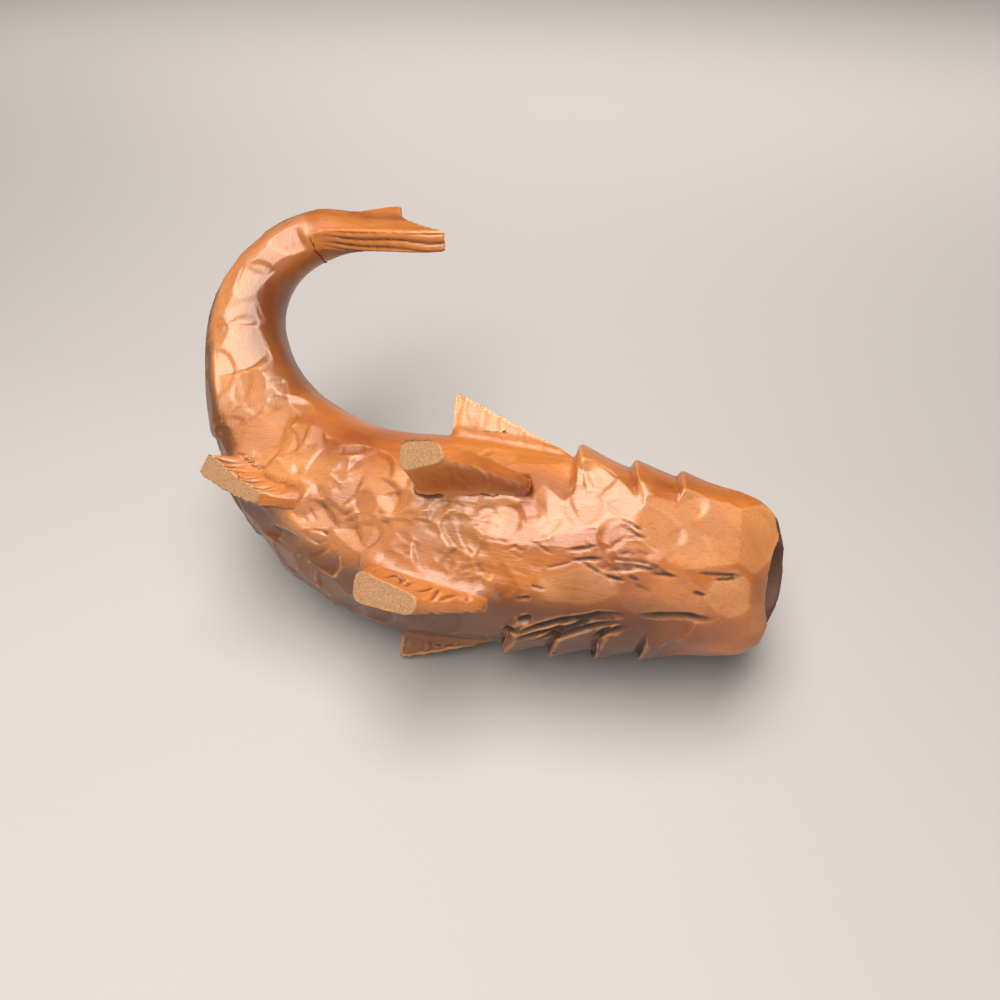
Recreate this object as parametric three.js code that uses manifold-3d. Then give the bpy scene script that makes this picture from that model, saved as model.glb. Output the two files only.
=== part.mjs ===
// A carved wooden bass, leaping with its mouth open and its tail curled round to one side. Trunk and tail
// stalk are two blocks doweled end to end. Every fin is a blade of its own, seated on the carving and held by
// hidden dowels, and the eyes are turned beads in drilled sockets. Both pelvic fins and the anal fin end in
// feet, trimmed to one plane.
//
// The fish is built in its own frame: lips at the origin, +X ahead of the lips, +Y to its left flank, +Z to
// its back. The finished figure is then rolled over and laid on its back and left flank. Millimetres and
// degrees throughout.
import * as THREE from 'three';
import { mergeVertices } from 'three/addons/utils/BufferGeometryUtils.js';
import Module from 'manifold-3d';

const wasm = await Module();
wasm.setup();

// Spine, measured from the lips: straight through head and trunk, then a wide bend and a tight curl to the
// right, rising a little towards the back and twisting as it goes
const STRAIGHT_LENGTH = 113;
const BEND_RADIUS = 76;
const BEND_ANGLE = 76;
const CURL_RADIUS = 34;
const CURL_ANGLE = 94;
const TAIL_ROOT = 260;
const TAIL_RISE = 14;
const TAIL_TWIST = 29;

// Sections of the carving at distances along the spine
const SECTIONS = [
  { at: -2, halfWidth: 10, back: 9, belly: 9 },
  { at: 0, halfWidth: 15, back: 12, belly: 12 },
  { at: 4, halfWidth: 20, back: 16, belly: 15.5 },
  { at: 12, halfWidth: 24, back: 20, belly: 19 },
  { at: 30, halfWidth: 26, back: 25, belly: 24 },
  { at: 50, halfWidth: 27.5, back: 29.5, belly: 28 },
  { at: 70, halfWidth: 29, back: 33, belly: 30.5 },
  { at: 90, halfWidth: 30.5, back: 35.5, belly: 32 },
  { at: 111, halfWidth: 31.5, back: 36, belly: 32 },
  { at: 134, halfWidth: 29.5, back: 33.5, belly: 29 },
  { at: 155, halfWidth: 26, back: 29, belly: 24 },
  { at: 172, halfWidth: 22.5, back: 25, belly: 20 },
  { at: 188, halfWidth: 18, back: 20.5, belly: 17 },
  { at: 203, halfWidth: 14.5, back: 17, belly: 14.5 },
  { at: 222, halfWidth: 12, back: 14, belly: 12.5 },
  { at: 240, halfWidth: 10, back: 13, belly: 12 },
  { at: TAIL_ROOT, halfWidth: 8.5, back: 13.5, belly: 12.5 },
];
const SECTION_SQUARENESS = 2.3;
const SECTION_POINTS = 36;
const STATION_STEP = 6;
const STALK_JOINT = 180;

// Gill plates: overlapping cheek flaps, each flaring out from the last one's rear edge to a step at its own.
// An edge is highest on the cheek and fades towards the throat and the nape, where it also runs forward
const GILLS = {
  left: { start: 28, rears: [40, 54, 67, 81], flares: [2.4, 3.2, 4, 4.5] },
  right: { start: 22, rears: [34, 48, 65], flares: [2.4, 3.2, 5] },
};
const GILL_STEP = 1.2;
const GILL_CURVE = 1.4;
const GILL_CHEEK = { none: 0.3, full: 0.8 };
const GILL_SWEEP = 14;
const GILL_SWEPT = 0.6;

// Mouth: a funnel inside the lips, and a wedge-shaped gape that parts the jaws back to the mouth's corners
const MOUTH_DEPTH = 42;
const MOUTH_SHARES = [-0.2, 0, 0.2, 0.4, 0.6, 0.75, 0.86, 0.94, 0.98];
const LIP_WALL = 6.5;
const LIP_BACK = 6;
const GAPE_DEPTH = 34;
const GAPE_LEVEL = 1;
const GAPE_ANGLE = 26;
const GAPE_ROUND = 2.5;
const GAPE_STEPS = 6;
const LOWER_LIP_SETBACK = 8;

// Feet: one plane trims both pelvic fins and the anal fin, tilted so that the fish stands with its head up
const FEET_PITCH = 14;
const FEET_DEPTH = 40;
const FEET_AT = 111;

// Swept fins: where each is rooted along the spine and round the section, how far it stands out and sweeps
// back at its rear, and its half-thicknesses. The front is a low share of the rear, and one pin holds each
const RAY_GROOVE = 0.5;
const SEAT_DEPTH = 6;
const FIN_ROWS = 5;
const FRONT_SHARE = 0.12;
const PIN_SHARE = 0.66;
const ROOT_THICKENING = 1.15;
const TIP_THINNING = 0.85;
const PECTORAL = {
  left: { length: 29, angle: -14, drift: 0, reach: 13, sweep: 4, thin: 2, thick: 3.4, rays: 6 },
  right: { length: 36, angle: -14, drift: 0, reach: 17, sweep: 4, thin: 2, thick: 3.4, rays: 6 },
};
const PECTORAL_BEHIND_GILL = 3;
const PECTORAL_LIFT = 30;
const PELVIC = {
  left: {
    front: 90, length: 29, angle: -58, drift: -8,
    reach: 24, sweep: 6, thin: 2.4, thick: 4.6, rays: 5,
  },
  right: {
    front: 81, length: 28, angle: -50, drift: -8,
    reach: 26, sweep: 6, thin: 2.4, thick: 4.4, rays: 5,
  },
};
const PELVIC_SPLAY = { left: 8, right: 32 };
const ANAL = {
  front: 146, length: 21, angle: -97, drift: 30,
  reach: 15, sweep: 22, thin: 3, thick: 5, rays: 7,
};
const ANAL_LEAN = 14;

// Dorsal fins: each outline is a stretch of a half wave, leaning back as it rises, and the front one is cut
// into spines. Pins stand at shares of the length
const SPINY_DORSAL = { front: 80, length: 42, reach: 15, thin: 1.6, thick: 3.6, rays: 8, pins: [0.3, 0.75] };
const SPINY_CREST = { from: 0.18, to: 0.9, notch: 0.26 };
const SOFT_DORSAL = { length: 34, reach: 24, thin: 1.6, thick: 3.6, rays: 8, pins: [0.5] };
const SOFT_CREST = { from: 0.2, to: 0.88, notch: 0 };
const DORSAL_NOTCH = 2;
const DORSAL_LEAN = 0.5;

// Tail fin: a fan that thins out from the stalk's end, forked, with its upper lobe the shorter
const TAIL_FIN = { length: 45, halfHeight: 27, fork: 5, slant: 17, thin: 3.4, rays: 12 };
const TAIL_THINNED = 0.7;
const TAIL_EDGE = 0.35;
const TAIL_ROWS = 9;

// Eyes, dowels and the gap that the glue fills
const EYE_RADIUS = 4.6;
const EYE_DOME = 2.4;
const EYE_SHANK = 5;
const EYE_ALONG = 30;
const EYE_ANGLE = 30;
const EYE_SIDES = 20;
const EYE_STEPS = 6;
const FIN_DOWEL = { radius: 1.6, inBody: 9, inFin: 5 };
const STALK_DOWEL = { radius: 5, inBody: 17, inFin: 17 };
const TAIL_DOWEL = { radius: 2, inBody: 10, inFin: 10 };
const DOWEL_SIDES = 16;
const GLUE_GAP = 0.3;

// How the figure lies: rolled over its left flank onto its back, its lips a little higher than its trunk
const LYING_ROLL = -130;
const LYING_PITCH = -3;

const STAINED_WOOD = new THREE.MeshStandardMaterial({ color: 0x9c5a30, roughness: 0.5, metalness: 0 });
const DOWEL_WOOD = new THREE.MeshStandardMaterial({ color: 0xc9a06c, roughness: 0.7, metalness: 0 });
const DARK_BEAD = new THREE.MeshStandardMaterial({ color: 0x2a1710, roughness: 0.25, metalness: 0 });

const { clamp, degToRad, lerp, smoothstep } = THREE.MathUtils;
const vector = (x, y, z) => new THREE.Vector3(x, y, z);
const X_AXIS = vector(1, 0, 0);
const Y_AXIS = vector(0, 1, 0);
const Z_AXIS = vector(0, 0, 1);

// Spine: its heading away from -X, its points, and a frame at any distance from the lips
const SPINE_STEP = 0.5;

function headingAt(along) {
  const bend = BEND_RADIUS * degToRad(BEND_ANGLE);
  const curl = CURL_RADIUS * degToRad(CURL_ANGLE);
  const past = along - STRAIGHT_LENGTH;
  return clamp(past, 0, bend) / BEND_RADIUS + clamp(past - bend, 0, curl) / CURL_RADIUS;
}

function walkSpine() {
  const points = [vector(0, 0, 0)];
  for (let along = 0; along < TAIL_ROOT + TAIL_FIN.length; along += SPINE_STEP) {
    const heading = headingAt(along + SPINE_STEP / 2);
    const step = vector(-Math.cos(heading), -Math.sin(heading), 0).multiplyScalar(SPINE_STEP);
    points.push(points[points.length - 1].clone().add(step));
  }
  return points;
}
const spinePoints = walkSpine();

function frameAt(along) {
  const place = Math.max(along, 0) / SPINE_STEP;
  const index = Math.min(Math.floor(place), spinePoints.length - 2);
  const origin = spinePoints[index].clone().lerp(spinePoints[index + 1], place - index);
  origin.x -= Math.min(along, 0);
  const bentLength = TAIL_ROOT - STRAIGHT_LENGTH;
  const bent = Math.max(0, along - STRAIGHT_LENGTH) / bentLength;
  origin.z = TAIL_RISE * bent ** 2;
  const heading = headingAt(along);
  const climb = (2 * TAIL_RISE * bent) / bentLength;
  const tail = vector(-Math.cos(heading), -Math.sin(heading), climb).normalize();
  const twist = degToRad(TAIL_TWIST) * smoothstep(along, STALK_JOINT, TAIL_ROOT);
  const up = Z_AXIS.clone().addScaledVector(tail, -tail.z).normalize().applyAxisAngle(tail, twist);
  const left = vector(0, 0, 0).crossVectors(tail, up);
  return { origin, tail, left, up };
}

// Section sizes at any distance, on a smooth curve through the listed ones
function sectionAt(along) {
  const last = SECTIONS.length - 1;
  const found = SECTIONS.findIndex(({ at }) => at >= along);
  const next = found < 0 ? last : Math.max(found, 1);
  const [before, from, to, after] = [-2, -1, 0, 1].map((shift) => SECTIONS[clamp(next + shift, 0, last)]);
  const span = to.at - from.at;
  const share = clamp((along - from.at) / span, 0, 1);
  const size = (key) => {
    const enter = ((to[key] - before[key]) / (to.at - before.at)) * span;
    const leave = ((after[key] - from[key]) / (after.at - from.at)) * span;
    const change = to[key] - from[key];
    const square = 3 * change - 2 * enter - leave;
    const cube = enter + leave - 2 * change;
    return from[key] + share * (enter + share * (square + share * cube));
  };
  return { halfWidth: size('halfWidth'), back: size('back'), belly: size('belly') };
}

// How far a gill plate stands out, and how far its edge runs forward away from the cheek
const gillEnd = (word) => GILLS[word].rears[GILLS[word].rears.length - 1];

function gillFlareAt(along, word) {
  const { start, rears, flares } = GILLS[word];
  const plate = rears.findIndex((rear) => along <= rear);
  const front = plate > 0 ? rears[plate - 1] : start;
  if (plate < 0 || along < front) return 0;
  return flares[plate] * ((along - front) / (rears[plate] - front)) ** GILL_CURVE;
}

function gillSweepAt(along) {
  const start = Math.min(GILLS.left.start, GILLS.right.start);
  const end = Math.max(gillEnd('left'), gillEnd('right'));
  const rise = smoothstep(along, start, lerp(start, end, GILL_SWEPT));
  return GILL_SWEEP * (rise - smoothstep(along, end, 2 * end - start));
}

// A point of the carved surface: angle 0 is the left flank, 90 the back, 180 the right flank, -90 the belly
function surfaceAt(along, angle, lift = 0) {
  const cosine = Math.cos(degToRad(angle));
  const sine = Math.sin(degToRad(angle));
  const swept = along - gillSweepAt(along) * (1 - Math.abs(cosine));
  const { origin, tail, left, up } = frameAt(swept);
  const { halfWidth, back, belly } = sectionAt(swept);
  const squared = (value) => Math.sign(value) * Math.abs(value) ** (2 / SECTION_SQUARENESS);
  const cheek = smoothstep(Math.abs(cosine), GILL_CHEEK.none, GILL_CHEEK.full) * Math.sign(cosine);
  const flare = gillFlareAt(along, cosine > 0 ? 'left' : 'right') * cheek;
  const setback = LOWER_LIP_SETBACK * Math.max(0, -sine) * (1 - smoothstep(along, 0, GAPE_DEPTH));
  return origin
    .addScaledVector(left, (halfWidth + lift) * squared(cosine) + flare)
    .addScaledVector(up, ((sine > 0 ? back : belly) + lift) * squared(sine))
    .addScaledVector(tail, setback);
}

const onSide = (side, angle) => (side > 0 ? angle : 180 - angle);
const outwardAt = (along, angle) => surfaceAt(along, angle, 1).sub(surfaceAt(along, angle)).normalize();

// Closed surface through rings of points, with a fan on either end
function loft(rings) {
  const count = rings[0].length;
  const middleOf = (ring) => ring.reduce((sum, point) => sum.add(point), vector(0, 0, 0)).divideScalar(count);
  const points = [...rings.flat(), middleOf(rings[0]), middleOf(rings[rings.length - 1])];
  const frontMiddle = points.length - 2;
  const rearMiddle = points.length - 1;
  const rearRing = (rings.length - 1) * count;
  const index = [];
  for (let side = 0; side < count; side += 1) {
    const beside = (side + 1) % count;
    for (let ring = 0; ring < rearRing; ring += count) {
      const [a, b] = [ring + side, ring + beside];
      index.push(a, b + count, b, a, a + count, b + count);
    }
    index.push(frontMiddle, side, beside, rearMiddle, rearRing + beside, rearRing + side);
  }
  return new THREE.BufferGeometry().setFromPoints(points).setIndex(index);
}

// Closed blade over a grid: place(u, v) is its middle surface, facing(u, v) its side, half(u, v) half its
// thickness
function blade({ columns, rows, place, facing, half }) {
  const points = [];
  for (const side of [1, -1]) {
    for (let row = 0; row <= rows; row += 1) {
      for (let column = 0; column <= columns; column += 1) {
        const [u, v] = [column / columns, row / rows];
        points.push(place(u, v).addScaledVector(facing(u, v), side * half(u, v)));
      }
    }
  }
  const stride = columns + 1;
  const other = stride * (rows + 1);
  const index = [];
  const quad = (a, b, c, d) => index.push(a, b, c, a, c, d);
  for (let row = 0; row < rows; row += 1) {
    const [near, far] = [row * stride, row * stride + columns];
    for (let a = near; a < far; a += 1) {
      quad(a, a + 1, a + stride + 1, a + stride);
      quad(other + a, other + a + stride, other + a + stride + 1, other + a + 1);
    }
    quad(near, near + stride, other + near + stride, other + near);
    quad(far, other + far, other + far + stride, far + stride);
  }
  for (let column = 0; column < columns; column += 1) {
    const top = rows * stride + column;
    quad(column, other + column, other + column + 1, column + 1);
    quad(top, top + 1, other + top + 1, other + top);
  }
  return new THREE.BufferGeometry().setFromPoints(points).setIndex(index);
}

// Between geometries, which are drawn, and solids, which can be cut
const SAME_POINT = 1e-4;

function solid(geometry) {
  const bare = geometry.clone();
  bare.deleteAttribute('normal');
  bare.deleteAttribute('uv');
  const merged = mergeVertices(bare, SAME_POINT);
  const vertProperties = merged.attributes.position.array;
  const triVerts = new Uint32Array(merged.index.array);
  const made = new wasm.Manifold(new wasm.Mesh({ numProp: 3, vertProperties, triVerts }));
  if (made.volume() > 0) return made;
  const turned = triVerts.reverse();
  return new wasm.Manifold(new wasm.Mesh({ numProp: 3, vertProperties, triVerts: turned }));
}

const largestBody = (made) =>
  made.decompose().reduce((best, body) => (body.volume() > best.volume() ? body : best));

const fish = new THREE.Group();

function add(name, made, material = STAINED_WOOD) {
  const { vertProperties, triVerts } = made.getMesh();
  const geometry = new THREE.BufferGeometry();
  geometry.setAttribute('position', new THREE.BufferAttribute(vertProperties, 3));
  geometry.setIndex(new THREE.BufferAttribute(triVerts, 1));
  geometry.computeVertexNormals();
  const mesh = new THREE.Mesh(geometry, material);
  mesh.name = name;
  fish.add(mesh);
}

// Blocks: a stretch of the carving, with a ring at every step and on both sides of each gill step
const gillRears = Object.values(GILLS).flatMap(({ rears }) => rears);
const gillEdges = gillRears.flatMap((rear) => [rear, rear + GILL_STEP]);

function evenSteps(from, to, step) {
  const count = Math.ceil((to - from) / step);
  return Array.from({ length: count + 1 }, (_, number) => lerp(from, to, number / count));
}

const ringAt = (along, lift) =>
  evenSteps(0, 360, 360 / SECTION_POINTS).slice(1).map((angle) => surfaceAt(along, angle, lift));

function block(from, to, lift = 0) {
  const edges = gillEdges.filter((at) => at > from && at < to);
  const isClear = (at) => edges.every((edge) => Math.abs(edge - at) > GILL_STEP);
  const stations = [...evenSteps(from, to, STATION_STEP).filter(isClear), ...edges].sort((a, b) => a - b);
  return solid(loft(stations.map((along) => ringAt(along, lift))));
}

function mouth() {
  const funnelRing = (share) => {
    const depth = share * MOUTH_DEPTH;
    const { origin } = frameAt(depth);
    const narrowing = Math.sqrt(1 - Math.max(share, 0) ** 2);
    const shift = Math.min(depth - LIP_BACK, 0);
    return ringAt(Math.max(depth, LIP_BACK), -LIP_WALL).map((point) => {
      point.x -= shift;
      return point.lerp(vector(point.x, origin.y, origin.z), 1 - narrowing);
    });
  };
  const half = 2 * GAPE_DEPTH * Math.tan(degToRad(GAPE_ANGLE / 2));
  const wedge = new THREE.Shape();
  wedge.moveTo(GAPE_DEPTH, -half);
  wedge.lineTo(GAPE_DEPTH, half);
  wedge.lineTo(GAPE_ROUND - GAPE_DEPTH, GAPE_ROUND / 2);
  wedge.quadraticCurveTo(-GAPE_DEPTH, 0, GAPE_ROUND - GAPE_DEPTH, -GAPE_ROUND / 2);
  const width = 4 * sectionAt(GAPE_DEPTH).halfWidth;
  const across = { depth: width, bevelEnabled: false, curveSegments: GAPE_STEPS };
  const gape = new THREE.ExtrudeGeometry(wedge, across);
  gape.translate(0, 0, -width / 2).rotateX(Math.PI / 2).translate(0, 0, GAPE_LEVEL);
  return solid(gape).add(solid(loft(MOUTH_SHARES.map(funnelRing))));
}

// A dowel across a seat, and the hole that it needs on both sides of the seat
function rod(from, direction, length, radius) {
  const turn = new THREE.Quaternion().setFromUnitVectors(Y_AXIS, direction);
  const middle = from.clone().addScaledVector(direction, length / 2);
  const geometry = new THREE.CylinderGeometry(radius, radius, length, DOWEL_SIDES).applyQuaternion(turn);
  return solid(geometry.translate(middle.x, middle.y, middle.z));
}

function dowel(seat, inwards, { radius, inBody, inFin }) {
  const end = (extra) => seat.clone().addScaledVector(inwards, -inFin - extra);
  const length = inBody + inFin;
  return {
    pin: rod(end(0), inwards, length, radius),
    hole: rod(end(GLUE_GAP), inwards, length + 2 * GLUE_GAP, radius + GLUE_GAP),
  };
}

// Fin blades, each rooted a little inside the carving, with a ridge for each ray
const rayGroove = (u, rays) => RAY_GROOVE * Math.abs(((u * rays) % 1) * 2 - 1);

// A fin that rises from a low front to a swept-back rear corner: its blade, and a pin up its middle
function sweptFin({ front, length, angle, drift, reach, sweep, thin, thick, rays }, side, out, back) {
  const facing = vector(0, 0, 0).crossVectors(out, back).normalize();
  const rootAt = (u) => surfaceAt(front + u * length, onSide(side, angle + u * drift), -SEAT_DEPTH);
  const spanAt = (u) => {
    const height = SEAT_DEPTH + reach * lerp(FRONT_SHARE, 1, u);
    return out.clone().multiplyScalar(height).addScaledVector(back, u * sweep);
  };
  const made = solid(blade({
    columns: rays * 2,
    rows: FIN_ROWS,
    place: (u, v) => rootAt(u).addScaledVector(spanAt(u), v),
    facing: () => facing,
    half: (u, v) => lerp(thin, thick, u) * lerp(ROOT_THICKENING, TIP_THINNING, v) - rayGroove(u, rays),
  }));
  const rise = spanAt(PIN_SHARE).normalize();
  return { made, seat: rootAt(PIN_SHARE).addScaledVector(rise, SEAT_DEPTH), inwards: rise.negate() };
}

function dorsalBlade({ front, length, reach, thin, thick, rays }, { from, to, notch }) {
  const alongAt = (u) => front + u * length;
  const crestAt = (u) => Math.sin(Math.PI * lerp(from, to, u)) * (1 - notch * ((u * rays) % 1));
  return solid(blade({
    columns: rays * 2,
    rows: FIN_ROWS,
    place: (u, v) => {
      const { up, tail } = frameAt(alongAt(u));
      const root = surfaceAt(alongAt(u), 90, -SEAT_DEPTH);
      const height = SEAT_DEPTH + reach * crestAt(u);
      return root.addScaledVector(up, v * height).addScaledVector(tail, v * reach * DORSAL_LEAN);
    },
    facing: (u) => frameAt(alongAt(u)).left,
    half: (u, v) => lerp(thick, thin, v) - rayGroove(u, rays),
  }));
}

function tailFinBlade() {
  const { length, halfHeight, fork, slant, rays, thin } = TAIL_FIN;
  const { halfWidth, back, belly } = sectionAt(TAIL_ROOT);
  const alongAt = (u, v) => {
    const spread = 2 * u - 1;
    return TAIL_ROOT + GLUE_GAP + v * (length - fork * (1 - spread ** 2) - slant * u);
  };
  return solid(blade({
    columns: rays * 2,
    rows: TAIL_ROWS,
    place: (u, v) => {
      const { origin, up } = frameAt(alongAt(u, v));
      const fanned = (2 * u - 1) * halfHeight;
      return origin.addScaledVector(up, lerp(lerp(-belly, back, u), fanned, smoothstep(v, 0, 1)));
    },
    facing: (u, v) => frameAt(alongAt(u, v)).left,
    half: (u, v) => {
      const thinned = smoothstep(v, 0, TAIL_THINNED);
      const round = Math.sqrt(Math.max(TAIL_EDGE ** 2, 1 - (2 * u - 1) ** 2));
      return lerp(halfWidth * round, thin, thinned) - rayGroove(u, rays) * thinned;
    },
  }));
}

// Everything beyond the plane that the figure stands on
function beyondFeet() {
  const normal = vector(-Math.sin(degToRad(FEET_PITCH)), 0, -Math.cos(degToRad(FEET_PITCH)));
  const size = 4 * TAIL_ROOT;
  const slab = new THREE.BoxGeometry(size, size, size).translate(0, 0, size / 2);
  slab.applyQuaternion(new THREE.Quaternion().setFromUnitVectors(Z_AXIS, normal));
  return solid(slab.translate(-FEET_AT, 0, -FEET_DEPTH));
}

// Assembly: the two blocks, then each fin trimmed to the carving under it and pinned there
const bodyClear = block(SECTIONS[0].at, STALK_JOINT + STATION_STEP, GLUE_GAP);
const stalkClear = block(STALK_JOINT - STATION_STEP, TAIL_ROOT, GLUE_GAP);
const feet = beyondFeet();
let body = block(SECTIONS[0].at, STALK_JOINT).subtract(mouth());
let stalk = block(STALK_JOINT + GLUE_GAP, TAIL_ROOT);

function seatFin(name, made, seats) {
  let fin = made.subtract(bodyClear).subtract(stalkClear);
  seats.forEach(({ seat, inwards }, number) => {
    const { pin, hole } = dowel(seat, inwards, FIN_DOWEL);
    fin = fin.subtract(hole);
    body = body.subtract(hole);
    add(seats.length > 1 ? `${name}_dowel_${number + 1}` : `${name}_dowel`, pin, DOWEL_WOOD);
  });
  add(name, largestBody(fin));
}

const BACK = X_AXIS.clone().negate();

function seatSweptFin(name, sizes, side, out, back, trim) {
  const { made, ...pin } = sweptFin(sizes, side, out, back);
  seatFin(name, trim ? made.subtract(trim) : made, [pin]);
}

for (const [word, side] of [['left', 1], ['right', -1]]) {
  const lift = degToRad(PECTORAL_LIFT);
  const splay = degToRad(PELVIC_SPLAY[word]);
  const pectoralOut = vector(0, side * Math.cos(lift), Math.sin(lift));
  const pelvicOut = vector(0, side * Math.sin(splay), -Math.cos(splay));
  const pectoral = { ...PECTORAL[word], front: gillEnd(word) + PECTORAL_BEHIND_GILL };
  seatSweptFin(`pectoral_fin_${word}`, pectoral, side, pectoralOut, BACK);
  seatSweptFin(`pelvic_fin_${word}`, PELVIC[word], side, pelvicOut, BACK, feet);
}
const lean = degToRad(ANAL_LEAN);
const analOut = vector(0, Math.sin(lean), -Math.cos(lean));
seatSweptFin('anal_fin', ANAL, 1, analOut, frameAt(ANAL.front).tail, feet);

function seatDorsal(name, sizes, crest) {
  const seats = sizes.pins.map((share) => {
    const along = sizes.front + sizes.length * share;
    return { seat: surfaceAt(along, 90), inwards: frameAt(along).up.negate() };
  });
  seatFin(name, dorsalBlade(sizes, crest), seats);
}
seatDorsal('spiny_dorsal_fin', SPINY_DORSAL, SPINY_CREST);
const softFront = SPINY_DORSAL.front + SPINY_DORSAL.length + DORSAL_NOTCH;
seatDorsal('soft_dorsal_fin', { ...SOFT_DORSAL, front: softFront }, SOFT_CREST);

// Tail: the stalk doweled to the trunk, and the tail fin doweled to the stalk
function endDowel(along, sizes) {
  const { origin, tail } = frameAt(along + GLUE_GAP / 2);
  return dowel(origin, tail.negate(), sizes);
}
const stalkDowel = endDowel(STALK_JOINT, STALK_DOWEL);
const tailDowel = endDowel(TAIL_ROOT, TAIL_DOWEL);
body = body.subtract(stalkDowel.hole);
stalk = stalk.subtract(stalkDowel.hole).subtract(tailDowel.hole);
add('tail_stalk', stalk);
add('tail_stalk_dowel', stalkDowel.pin, DOWEL_WOOD);
add('tail_fin', tailFinBlade().subtract(tailDowel.hole));
add('tail_fin_dowel', tailDowel.pin, DOWEL_WOOD);

// Eyes: a domed bead on a shank that fills its socket
function eyeBead(clearance) {
  const radius = EYE_RADIUS + clearance;
  const foot = -EYE_SHANK - clearance;
  const dome = Array.from({ length: EYE_STEPS }, (_, step) => {
    const turn = (step * Math.PI) / (2 * EYE_STEPS);
    return new THREE.Vector2(radius * Math.cos(turn), EYE_DOME * Math.sin(turn));
  });
  const profile = [new THREE.Vector2(0, foot), new THREE.Vector2(radius, foot), ...dome];
  return new THREE.LatheGeometry([...profile, new THREE.Vector2(0, EYE_DOME)], EYE_SIDES);
}
for (const [word, side] of [['left', 1], ['right', -1]]) {
  const angle = onSide(side, EYE_ANGLE);
  const seat = surfaceAt(EYE_ALONG, angle);
  const turn = new THREE.Quaternion().setFromUnitVectors(Y_AXIS, outwardAt(EYE_ALONG, angle));
  const placed = (clearance) =>
    solid(eyeBead(clearance).applyQuaternion(turn).translate(seat.x, seat.y, seat.z));
  body = body.subtract(placed(GLUE_GAP));
  add(`eye_${word}`, placed(0), DARK_BEAD);
}
add('body', body);

// Lay the figure down, its box centred over the origin and standing on the table
fish.rotation.set(degToRad(LYING_ROLL), degToRad(LYING_PITCH), 0, 'ZYX');
const box = new THREE.Box3().setFromObject(fish, true);
const middle = box.getCenter(vector(0, 0, 0));
fish.position.set(-middle.x, -middle.y, -box.min.z);

const figurine = new THREE.Group();
figurine.add(fish);

export default figurine;
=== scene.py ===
import math

import bmesh
import bpy
import numpy as np
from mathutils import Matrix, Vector
from mathutils.bvhtree import BVHTree
from mathutils.kdtree import KDTree


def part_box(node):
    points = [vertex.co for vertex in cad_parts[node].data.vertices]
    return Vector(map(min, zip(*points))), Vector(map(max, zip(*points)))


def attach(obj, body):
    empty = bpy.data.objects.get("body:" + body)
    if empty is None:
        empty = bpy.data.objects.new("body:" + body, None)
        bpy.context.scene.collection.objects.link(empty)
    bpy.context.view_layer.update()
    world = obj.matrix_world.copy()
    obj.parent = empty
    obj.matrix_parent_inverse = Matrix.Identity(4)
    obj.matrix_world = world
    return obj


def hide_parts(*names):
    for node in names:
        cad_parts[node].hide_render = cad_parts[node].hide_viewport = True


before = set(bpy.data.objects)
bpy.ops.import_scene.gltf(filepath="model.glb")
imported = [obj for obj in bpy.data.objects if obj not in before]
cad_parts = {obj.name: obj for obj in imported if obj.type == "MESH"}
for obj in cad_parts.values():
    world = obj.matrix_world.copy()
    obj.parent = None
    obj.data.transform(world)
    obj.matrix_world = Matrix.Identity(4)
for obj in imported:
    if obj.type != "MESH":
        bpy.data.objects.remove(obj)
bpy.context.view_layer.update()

# Glued-up blank: trunk and tail stalk are end-to-end blocks of one reddish hardwood, and every fin is a
# blade pinned and glued on. The carver works the whole blank after the glue has set, so it is one closed
# surface here, and it is parted again at the glue lines once it is carved.
WOOD_NODES = [
    "body", "tail_stalk", "tail_fin", "spiny_dorsal_fin", "soft_dorsal_fin", "pectoral_fin_left",
    "pectoral_fin_right", "pelvic_fin_left", "pelvic_fin_right", "anal_fin",
]
DOWEL_NODES = [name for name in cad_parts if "_dowel" in name]
EYE_NODES = ["eye_left", "eye_right"]
GLUE_SWELL = 0.0004
BLANK_GRAIN = 0.0005


def only(piece):
    bpy.ops.object.select_all(action="DESELECT")
    piece.select_set(True)
    bpy.context.view_layer.objects.active = piece


def merged_copy(node, name):
    piece = bpy.data.objects.new(name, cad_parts[node].data.copy())
    bpy.context.scene.collection.objects.link(piece)
    only(piece)
    bpy.ops.object.mode_set(mode="EDIT")
    bpy.ops.mesh.select_all(action="SELECT")
    bpy.ops.mesh.remove_doubles(threshold=1e-6)
    bpy.ops.object.mode_set(mode="OBJECT")
    return piece


def apply_modifier(piece, kind, **settings):
    only(piece)
    modifier = piece.modifiers.new(kind.lower(), kind)
    for key, value in settings.items():
        setattr(modifier, key, value)
    bpy.ops.object.modifier_apply(modifier=modifier.name)


blocks = [merged_copy(node, "blank_" + node) for node in WOOD_NODES + DOWEL_NODES]
for block in blocks:
    apply_modifier(block, "DISPLACE", strength=GLUE_SWELL, mid_level=0.0)
bpy.ops.object.select_all(action="DESELECT")
for block in blocks:
    block.select_set(True)
blank = blocks[0]
bpy.context.view_layer.objects.active = blank
bpy.ops.object.join()
blank.name = "blank"
apply_modifier(blank, "REMESH", mode="VOXEL", voxel_size=BLANK_GRAIN, adaptivity=0.0)

mesh = blank.data
count = len(mesh.vertices)
places = np.empty(count * 3, np.float32)
mesh.vertices.foreach_get("co", places)
metres = places.reshape(-1, 3).astype(float)
edges = np.empty(len(mesh.edges) * 2, np.int32)
mesh.edges.foreach_get("vertices", edges)
edges = edges.reshape(-1, 2)
degree = np.maximum(np.bincount(edges.ravel(), minlength=count), 1)
corners = np.empty(len(mesh.polygons) * 4, np.int32)
mesh.polygons.foreach_get("vertices", corners)
corners = corners.reshape(-1, 4)


def smoothstep(value, low, high):
    share = np.clip((value - low) / (high - low), 0, 1)
    return share * share * (3 - 2 * share)


def unit(vectors):
    return vectors / np.maximum(np.linalg.norm(vectors, axis=-1, keepdims=True), 1e-9)


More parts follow.
